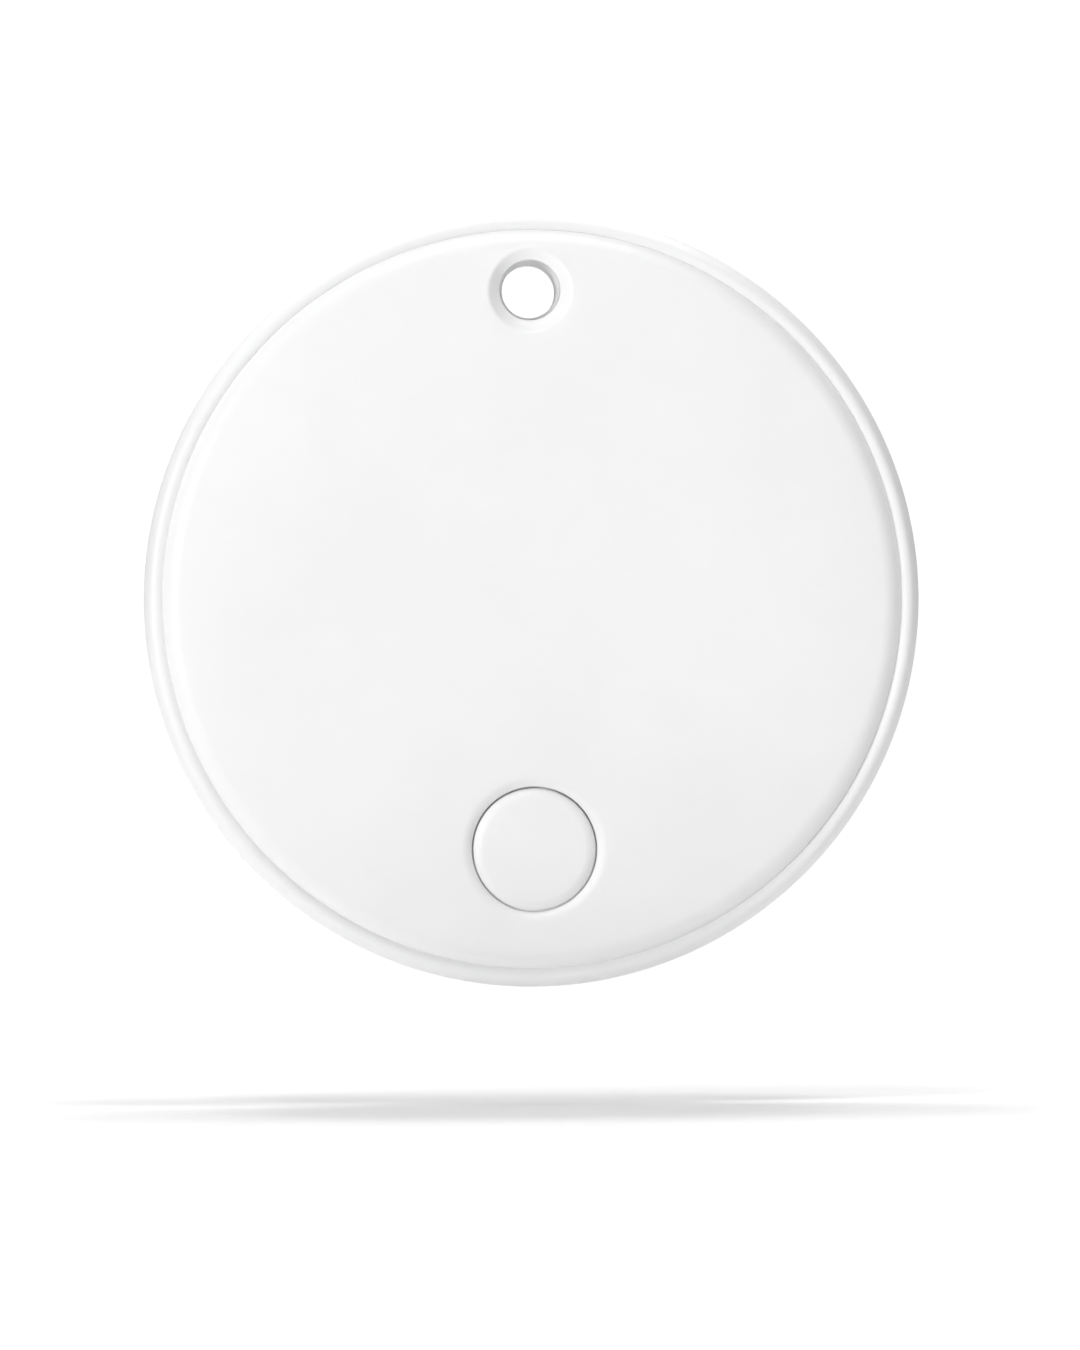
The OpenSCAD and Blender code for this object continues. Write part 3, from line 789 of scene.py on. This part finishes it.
def build_button():
    """Round cap, flush with the face, with a soft edge, a slight crown and a flange behind the face."""
    shell = Shell()
    n, low, crowning = DISC_STEPS, 0.05, 0.03
    start = BUTTON_R - BUTTON_ROUND * math.sin(BUTTON_BEND)
    profile = [(start + BUTTON_ROUND * math.sin(a), low + BUTTON_ROUND * (1 - math.cos(a)))
               for a in [BUTTON_BEND * i / 10 for i in range(11)]]
    rings = [[(u, v, face_w(u, v) - d) for u, v in circle(0, BUTTON_V, r, n)] for r, d in profile]
    crown = profile[0][0]
    shoulder = FRONT_IN + 0.25
    rings += [[(u, v, w) for u, v in circle(0, BUTTON_V, r, n)]
              for r, w in [(BUTTON_R, shoulder), (FLANGE_R, shoulder), (FLANGE_R, FRONT_IN)]]
    shell.bridge(rings)

    def top(u, v):
        return face_w(u, v) - low + crowning * (1 - (math.hypot(u, v - BUTTON_V) / crown) ** 2)

    shell.sheet(circle(0, BUTTON_V, crown, n), [], top, 0.3)
    shell.plate(circle(0, BUTTON_V, FLANGE_R, n), [], FRONT_IN, 0.8)
    piece("button_cap_moulding", shell, WHITE, "button", "case_plastic", "button_cap")


def build_seal():
    """The seal's round cord, with a little flash on its parting line."""
    cord, flash = Shell(), 0.015
    upper = arc(SEAL_R, SEAL_W, SEAL_CORD - flash, 5, 175, 14)
    lower = arc(SEAL_R, SEAL_W, SEAL_CORD - flash, 185, 355, 14)
    cord.turn(upper + [(SEAL_R - SEAL_CORD, SEAL_W)] + lower + [(SEAL_R + SEAL_CORD, SEAL_W)],
              ROUND_STEPS, closed=True)
    piece("battery_seal_cord", cord, RUBBER, "case", "seal_rubber", "battery_seal")


def build_pad():
    """The foam pad under the cell, slightly crowned, with a bulging edge."""
    pad, crown, low = Shell(), 0.02, REAR_WALL
    high = level("battery_pad", 1) - crown
    bulge = (high - low) / 2
    flat_r = radius("battery_pad") - bulge
    pad.turn(arc(flat_r, low + bulge, bulge, -90, 90, 6), DISC_STEPS)
    edge = circle(0, 0, flat_r, DISC_STEPS)
    pad.plate(edge, [], low, 0.6)
    pad.sheet(edge, [], lambda u, v: high + crown * (1 - (math.hypot(u, v) / flat_r) ** 4), 0.4)
    foam = piece("battery_pad_foam", pad, FOAM, "back", "pad_foam", "battery_pad")


def build_membrane():
    """The silicone sheet under the button, whose nub presses the switch."""
    membrane = Shell()
    low, under, over = level("button_membrane", 0), FRONT_IN - 0.15, FRONT_IN
    rim_r, nub_r = radius("button_membrane"), 0.9
    core_r = nub_r - 0.3
    profile = rounded([(core_r, low, 0), (nub_r, low, 0.08), (nub_r, under, 0.08),
                       (rim_r, under, 0.05), (rim_r, over, 0.05), (core_r, over, 0)], 4)
    membrane.turn(profile, FINE_STEPS, 0, BUTTON_V)
    for w in (low, over):
        membrane.cap(circle(0, BUTTON_V, core_r), w)
    skin = piece("button_membrane_skin", membrane, SILICONE, "case", "clear_silicone", "button_membrane")
    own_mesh(skin)


# ---- switch


def build_switch():
    """The sprung dome and the plunger over it; the switch's body and plate are shown as they are."""
    low, high = level("switch_dome", 0), level("switch_dome", 1)
    dome, n, rings, thick = Shell(), 96, 12, 0.04
    radii = [i / rings for i in range(1, rings + 1)]        # the dome is 1 mm in radius
    upper = [(r, high - (high - low - thick) * r * r) for r in radii]
    lower = [(r, w - thick) for r, w in upper]
    dome.turn(upper + lower[::-1], n, 0, BUTTON_V)
    for r, w in (upper[0], lower[0]):
        dome.cap(circle(0, BUTTON_V, r, n), w)
    spring = piece("switch_dome_spring", dome, NICKEL, "case", "bright_steel", "switch_dome")
    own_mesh(spring)

    low, high, r = level("switch_plunger", 0), level("switch_plunger", 1), radius("switch_plunger")
    pin = rod(0, BUTTON_V, r, low, high, 0.08)
    piece("switch_plunger_pin", pin, IVORY, "plunger", "plunger_plastic", "switch_plunger")
    carried("switch_body", RESIN)
    carried("switch_plate", NICKEL, 0.015)


# ---- circuit board


def notched_disc(r, notch_v, notch_r):
    """A disc's outline with a round notch taken out of its edge at the top."""
    v = (r * r - notch_r ** 2 + notch_v ** 2) / (2 * notch_v)
    u = math.sqrt(r * r - v * v)
    edge = math.degrees(math.atan2(v, u))
    notch = math.degrees(math.atan2(v - notch_v, -u)) % 360
    return arc(0, 0, r, edge, -180 - edge, 240) + arc(0, notch_v, notch_r, notch, 540 - notch, 40)[1:-1]


def build_board():
    """The bare board, with its screw holes and its notch round the housing's boss."""
    shell, r, soft = Shell(), radius("circuit_board"), 0.03
    screw_holes = [circle(*around(SCREW_RING_R, a), 0.6, HOLE_STEPS) for a in SCREW_ANGLES]
    for hole in screw_holes:
        shell.bridge([[(u, v, w) for u, v in hole] for w in (BOARD_W, PARTS_W)])

    def outline(inset):
        return notched_disc(r - inset, HOLE_V, BOSS_REAR_R + 0.2 + inset)

    levels = [(soft, BOARD_W), (0, BOARD_W + soft), (0, PARTS_W - soft), (soft, PARTS_W)]
    shell.rise(outline, levels, False, False)
    for w in (BOARD_W, PARTS_W):
        shell.plate(outline(soft), screw_holes, w)
    piece("circuit_board_panel", shell, LAMINATE, "case", "board_laminate", "circuit_board")
    carried("board_screws", NICKEL)


SOLDER = Shell()        # every soldered joint on the board, gathered as the parts are built
TAPER = 0.12            # how far a fillet of solder spreads round a part's end


def solder_fillet(cu, cv, su, sv, high):
    """Solder that climbs the end of a part."""

    def shape(inset):
        return rectangle(cu, cv, su, sv, 0.08, inset)

    SOLDER.rise(shape, [(-TAPER, PARTS_W), (-TAPER * 0.45, PARTS_W + high * 0.3), (-0.01, PARTS_W + high)])


def build_two_ended(node, material, slot, end):
    """Small parts with a tinned cap at each end, which wraps round their body."""
    top, tuck = level(node, 1), 0.02        # the body stays tucked inside its caps
    bodies, caps = Shell(), Shell()
    for cu, cv, su, sv in solids(node):
        along_u = su > sv
        bodies.block(cu, cv, PARTS_W + 0.02, top - 0.015, su - 4 * tuck if along_u else su - tuck,
                     sv - tuck if along_u else sv - 4 * tuck, 0.04)
        for side in (-1, 1):
            shift = side * ((su if along_u else sv) - end) / 2
            at = (cu + shift, cv) if along_u else (cu, cv + shift)
            size = (end, sv) if along_u else (su, end)
            caps.block(*at, PARTS_W + 0.01, top, *size, 0.05)
            solder_fillet(*at, *size, (top - PARTS_W) * 0.6)
    piece(node + "_bodies", bodies, material, "case", slot, node)
    piece(node + "_ends", caps, NICKEL, "case", "bright_steel")


def build_package(node, pads):
    """A flat package with contact pads along its four sides and a round mark at its first pad."""
    (cu, cv, su, sv), = solids(node)
    shell, top, edge, sunk = Shell(), level(node, 1), 0.03, 0.04
    levels = [(edge, PARTS_W + 0.03), (edge, top - 0.1), (edge + 0.03, top - 0.03), (edge + 0.08, top)]

    def shape(inset):
        return rectangle(cu, cv, su, sv, 0.1, inset)

    shell.rise(shape, levels, top=False)
    mark = circle(cu - su / 2 + 0.16 * su, cv + sv / 2 - 0.16 * sv, 0.05 * su, FINE_STEPS // 4)
    shell.bridge([[(u, v, top - d) for u, v in mark] for d in (0, sunk)])
    shell.cap(mark, top - sunk)
    shell.plate(shape(levels[-1][0]), [mark], top)
    piece(node + "_package", shell, RESIN, "case", "chip_resin", node)
    for i in range(pads):
        along = (i - (pads - 1) / 2) / pads * 0.86
        width = 0.45 / pads
        for side in (-1, 1):
            solder_fillet(cu + along * su, cv + side * (sv / 2 - 0.1), width * su, 0.2, 0.2)
            solder_fillet(cu + side * (su / 2 - 0.1), cv + along * sv, 0.2, width * sv, 0.2)


def build_crystal(node):
    """A ceramic base with a drawn metal lid seamed to it."""
    (cu, cv, su, sv), = solids(node)
    shell, top = Shell(), level(node, 1)
    base_w = PARTS_W + (top - PARTS_W) * 0.45
    lid, seam = 0.24, 0.1           # how much narrower they are than the base
    shell.block(cu, cv, PARTS_W + 0.02, base_w, su, sv, 0.03, 0.12)
    shell.block(cu, cv, base_w, top, su - lid, sv - lid, 0.08, 0.2)
    shell.block(cu, cv, base_w - 0.01, base_w + 0.05, su - seam, sv - seam, 0.02, 0.2)
    piece(node + "_lid", shell, NICKEL, "case", "bright_steel", node)
    for a in (-1, 1):
        for b in (-1, 1):
            solder_fillet(cu + a * (su / 2 - 0.2), cv + b * (sv / 2 - 0.2), 0.4, 0.4, 0.1)


def build_electronics():
    build_board()
    build_package("radio_chip", 8)
    build_package("motion_sensor", 4)
    build_package("sound_driver", 5)
    build_crystal("main_crystal")
    build_crystal("clock_crystal")
    build_two_ended("chip_antenna", PALE_CERAMIC, "antenna_ceramic", 0.5)
    build_two_ended("power_inductor", FERRITE, "ferrite", 0.4)
    build_two_ended("bulk_capacitors", TAN_CERAMIC, "capacitor_ceramic", 0.5)
    build_two_ended("chip_capacitors", TAN_CERAMIC, "capacitor_ceramic", 0.22)
    build_two_ended("chip_resistors", BLACK_GLAZE, "resistor_ceramic", 0.2)
    piece("solder_joints", SOLDER, NICKEL, "case", "bright_steel")
    carried("contact_negative", GOLD)
    carried("contact_positive", GOLD)
    carried("buzzer_springs", GOLD, 0.02)


def disc(node, ending, r_in, soft, material, body, slot, v=0.0):
    """A thin disc or washer with softened edges that stands for a CAD node."""
    low, high, r = level(node, 0), level(node, 1), radius(node)
    shell, n = Shell(), DISC_STEPS
    outline = rounded([(r_in, low, soft if r_in else 0), (r, low, soft), (r, high, soft),
                       (r_in, high, soft if r_in else 0)], 4)
    if r_in:
        shell.turn(outline, n, 0, v, closed=True)
    else:
        shell.turn(outline[1:-1], n, 0, v)
        for w in (low, high):
            shell.plate(circle(0, v, r - soft, n), [], w, 1.2)
    piece(node + ending, shell, material, body, slot, node)


def build_buzzer():
    """Brass plate, ceramic disc with a silvered electrode, and the ring of adhesive."""
    disc("buzzer_plate", "_disc", 0, 0.03, BRASS, "case", "buzzer_brass", BUZZER_V)
    disc("buzzer_ceramic", "_disc", 0, 0.02, PALE_CERAMIC, "case", "antenna_ceramic", BUZZER_V)
    disc("buzzer_adhesive", "_ring", radius("buzzer_plate") - 1.2, 0.02, FILM, "case", "adhesive",
         BUZZER_V)
    electrode = Shell()
    low, r = level("buzzer_ceramic", 0), radius("buzzer_ceramic") - 0.4
    wall = [(r, low + 0.001), (r - 0.01, low - 0.008)]
    electrode.turn(wall, FINE_STEPS, 0, BUZZER_V)
    for edge, w in wall:
        electrode.cap(circle(0, BUZZER_V, edge), w)
    piece("buzzer_electrode", electrode, SILVERING, "case", "bright_steel")


# ---- coin cell


def plus_sign(reach, arm, inset=0.0):
    """Outline of a plus sign with slightly round corners."""
    a, b = reach - inset, arm - inset
    arm_end = [(a, -b), (a, b), (b, b)]
    path = []
    for _ in range(4):
        path += arm_end
        arm_end = [(-v, u) for u, v in arm_end]
    return rounded([(u, v, 0.12) for u, v in path], 4)


def build_can():
    """The cell's can, crimped over at the top, with a plus sign pressed into its foot."""
    bend, corner, crimp_w = 0.5, 0.45, CELL_TOP - 0.7
    foot_r, inner_w, sunk = CELL_R - corner, CELL_W + CELL_SKIN, 0.03
    can = Shell()
    can.turn(arc(foot_r, CELL_W + corner, corner, 270, 360, 12)
             + arc(CELL_R - bend, crimp_w, bend, 0, 75, 10)
             + arc(CELL_R - bend, crimp_w, CELL_SKIN, 75, 0, 8)
             + arc(foot_r - 0.05, CELL_W + corner + 0.05, CELL_SKIN, 0, -90, 8)
             + [(foot_r - 1, inner_w)], ROUND_STEPS)
    can.plate(circle(0, 0, foot_r - 1, ROUND_STEPS), [], inner_w)
    sign, sign_low = plus_sign(2.4, 0.45), plus_sign(2.4, 0.45, 0.03)
    can.bridge([[(u, v, CELL_W) for u, v in sign], [(u, v, CELL_W + sunk) for u, v in sign_low]])
    can.plate(sign_low, [], CELL_W + sunk, 0.4)
    can.plate(circle(0, 0, foot_r, ROUND_STEPS), [sign], CELL_W, 1.2)
    piece("battery_can_drawn", can, CELL_STEEL, "coin_cell", "cell_steel", "battery_can")


def build_cap():
    """The cell's cap, whose skirt stands in the gasket."""
    cap = Shell()
    flat_r, hollow_r, foot_w = CELL_R - 1.9, CELL_R - 1.95, CELL_W + 0.5
    outside = arc(flat_r, CELL_TOP - 0.35, 0.35, 90, 0, 8)
    outside += [(CELL_R - 1.55, CELL_TOP - 0.65), (CELL_R - 0.7, CELL_TOP - 0.9)]
    skirt = [(CELL_R - 0.7, foot_w), (CELL_R - 0.95, foot_w), (CELL_R - 0.95, CELL_TOP - 1.1)]
    cap.turn(outside + skirt + [(CELL_R - 1.8, CELL_TOP - 0.85), (CELL_R - 1.8, CELL_TOP - 0.4),
                                (hollow_r, CELL_TOP - CELL_SKIN)], ROUND_STEPS)
    cap.plate(circle(0, 0, hollow_r, ROUND_STEPS), [], CELL_TOP - CELL_SKIN, 1.5)
    cap.plate(circle(0, 0, flat_r, ROUND_STEPS), [], CELL_TOP, 1.2)
    piece("battery_cap_drawn", cap, CELL_STEEL, "coin_cell", "cell_steel", "battery_cap")


def build_gasket():
    """The ring between can and cap; its section is (distance in from the can's side, height)."""
    gasket, soft = Shell(), 0.03
    section = [(1.1, 0.27), (0.5, 0.27), (0.27, 0.6), (0.27, CELL_H - 0.8), (0.48, CELL_H - 0.5),
               (0.72, CELL_H - 0.5), (0.68, CELL_H - 0.88), (0.68, 0.47), (1.1, 0.47)]
    outline = rounded([(CELL_R - d, CELL_W + w, soft) for d, w in section], 3)
    gasket.turn(outline, ROUND_STEPS, closed=True)
    piece("battery_gasket_ring", gasket, GASKET, "coin_cell", "gasket_plastic", "battery_gasket")


def build_coin_cell():
    build_can()
    build_cap()
    build_gasket()
    disc("battery_cathode", "_pellet", 0, 0.08, CATHODE, "coin_cell", "cathode_powder")
    disc("battery_separator", "_disc", 0, 0.03, PAPER, "coin_cell", "separator_paper")
    disc("battery_anode", "_disc", 0, 0.06, LITHIUM, "coin_cell", "anode_metal")


build_front_cover()
build_housing()
build_rear_cover()
build_button()
build_seal()
build_pad()
build_membrane()
build_switch()
build_electronics()
build_buzzer()
build_coin_cell()

# ---- stage

# Suns in front: degrees off the view axis, turn about it (0 right, 90 up, 180 left), strength
KEY_SUNS = [(0, 0, 0.25), (45, 180, 2.35)]
KEY_SOFTNESS = 20
# Suns overhead: degrees of lean to the back and to the right, softness, strength
TOP_SUNS = [(-30, 0, 50, 0.5), (-25, -11, 16, 0.55), (-12, 11, 16, 0.75), (10, 0, 50, 0.4),
            (25, -11, 16, 0.55), (25, 11, 16, 0.4), (25, 0, 50, 0.3), (40, 0, 50, 0.7)]
FILL = 0.05             # light from all round
BACKDROP = 1.05         # white behind the tag, seen by the camera only
FLOOR_GAP = 5.8         # the tag hangs this far above the floor


def sun(name, towards, strength, softness):
    data = bpy.data.lights.new(name, "SUN")
    data.energy = strength
    data.angle = math.radians(softness)
    obj = new_object(name, data)
    obj.rotation_mode = "QUATERNION"
    obj.rotation_quaternion = Vector(towards).to_track_quat("Z", "Y")


def lights():
    world = bpy.data.worlds.new("studio")
    bpy.context.scene.world = world
    world.use_nodes = True
    tree = world.node_tree
    fill = tree.nodes["Background"]
    fill.inputs["Color"].default_value = (1, 1, 1, 1)
    fill.inputs["Strength"].default_value = FILL
    seen = tree.nodes.new("ShaderNodeBackground")
    seen.inputs["Color"].default_value = (1, 1, 1, 1)
    seen.inputs["Strength"].default_value = BACKDROP
    mix = tree.nodes.new("ShaderNodeMixShader")
    path = tree.nodes.new("ShaderNodeLightPath")
    tree.links.new(path.outputs["Is Camera Ray"], mix.inputs["Fac"])
    tree.links.new(fill.outputs[0], mix.inputs[1])
    tree.links.new(seen.outputs[0], mix.inputs[2])
    tree.links.new(mix.outputs[0], tree.nodes["World Output"].inputs["Surface"])
    for off_axis, turn, strength in KEY_SUNS:
        t, p = math.radians(off_axis), math.radians(turn)
        sun("key", (math.sin(t) * math.cos(p), -math.cos(t), math.sin(t) * math.sin(p)),
            strength, KEY_SOFTNESS)
    for back, right, softness, strength in TOP_SUNS:
        sun("top", (math.tan(math.radians(right)), math.tan(math.radians(back)), 1), strength, softness)


def floor():
    """A sheet of white paper 3 m square."""
    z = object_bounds()[0].z - FLOOR_GAP * MM
    half = 1.5
    data = bpy.data.meshes.new("floor")
    corners = [(-half, -half, z), (half, -half, z), (half, half, z), (-half, half, z)]
    data.from_pydata(corners, [], [(0, 1, 2, 3)])
    look = Look("floor_paper")
    tone = look.ramp(look.noise(300, 2), (0.3, 0.83), (0.7, 0.85))
    data.materials.append(look.set(Base_Color=tone, Roughness=0.9))
    new_object("floor", data)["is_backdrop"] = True


def camera():
    """A long lens, almost square on, level with a point a little below the tag's middle."""
    distance, yaw, roll = 0.560, math.radians(-1.5), math.radians(-0.45)
    aim_right, aim_down, lens, sensor = 0.42, 3.74, 302.3, 36.0
    aim = Vector((aim_right * MM, 0, MIDDLE_Z - aim_down * MM))
    data = bpy.data.cameras.new("camera")
    data.lens = lens
    data.sensor_width = sensor
    data.clip_end = 10
    obj = new_object("camera", data)
    obj.location = aim + Vector((math.sin(yaw) * distance, -math.cos(yaw) * distance, 0))
    look = (aim - obj.location).to_track_quat("-Z", "Y")
    obj.rotation_euler = (look @ Quaternion((0, 0, 1), roll)).to_euler()
    bpy.context.scene.camera = obj


lights()
floor()
camera()
bpy.context.scene.view_settings.view_transform = "Standard"
